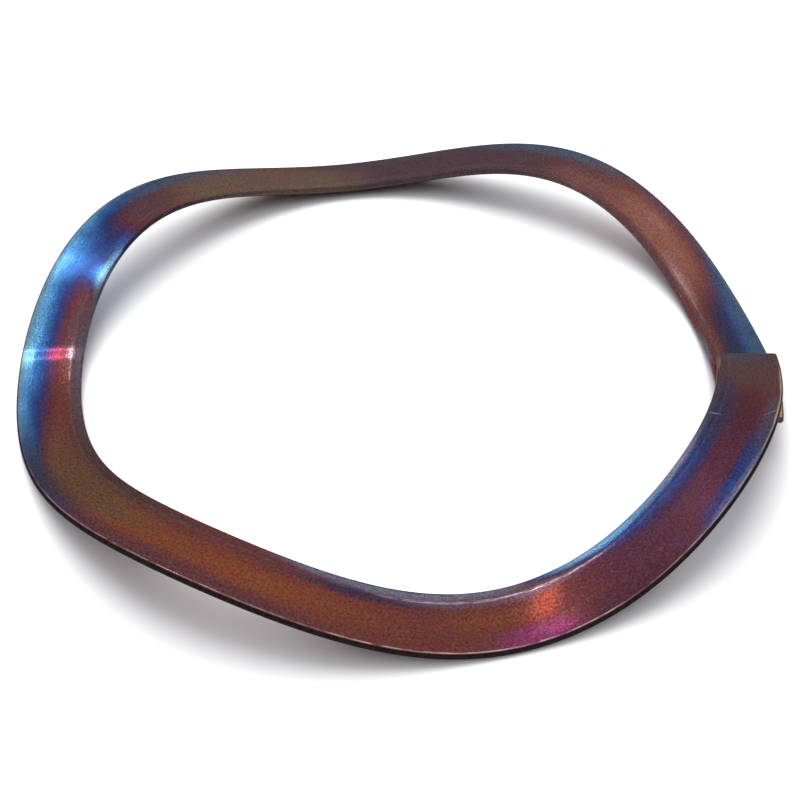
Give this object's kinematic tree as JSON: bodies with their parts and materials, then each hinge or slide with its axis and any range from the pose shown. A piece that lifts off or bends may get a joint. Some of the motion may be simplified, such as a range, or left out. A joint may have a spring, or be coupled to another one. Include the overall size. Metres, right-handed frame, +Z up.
{
  "type": "wave washer",
  "caption": "Wave washer: one turn of flat spring wire with lapped ends, pressed into even waves, that preloads a bearing along its shaft.",
  "frame": {"origin": "on the ring's axis, in the plane that the troughs lie on", "axes": "+Z up along the ring's axis, +X just past the cut end of the top lap"},
  "size_m": [0.0499, 0.05, 0.0043],
  "materials": {
    "tinted_spring_steel": "satin rolled spring steel with heat tint from brown and purple to blue, rubbed bright along its edges"
  },
  "bodies": {
    "root": {"wave_washer": "tinted_spring_steel"}
  },
  "joints": []
}
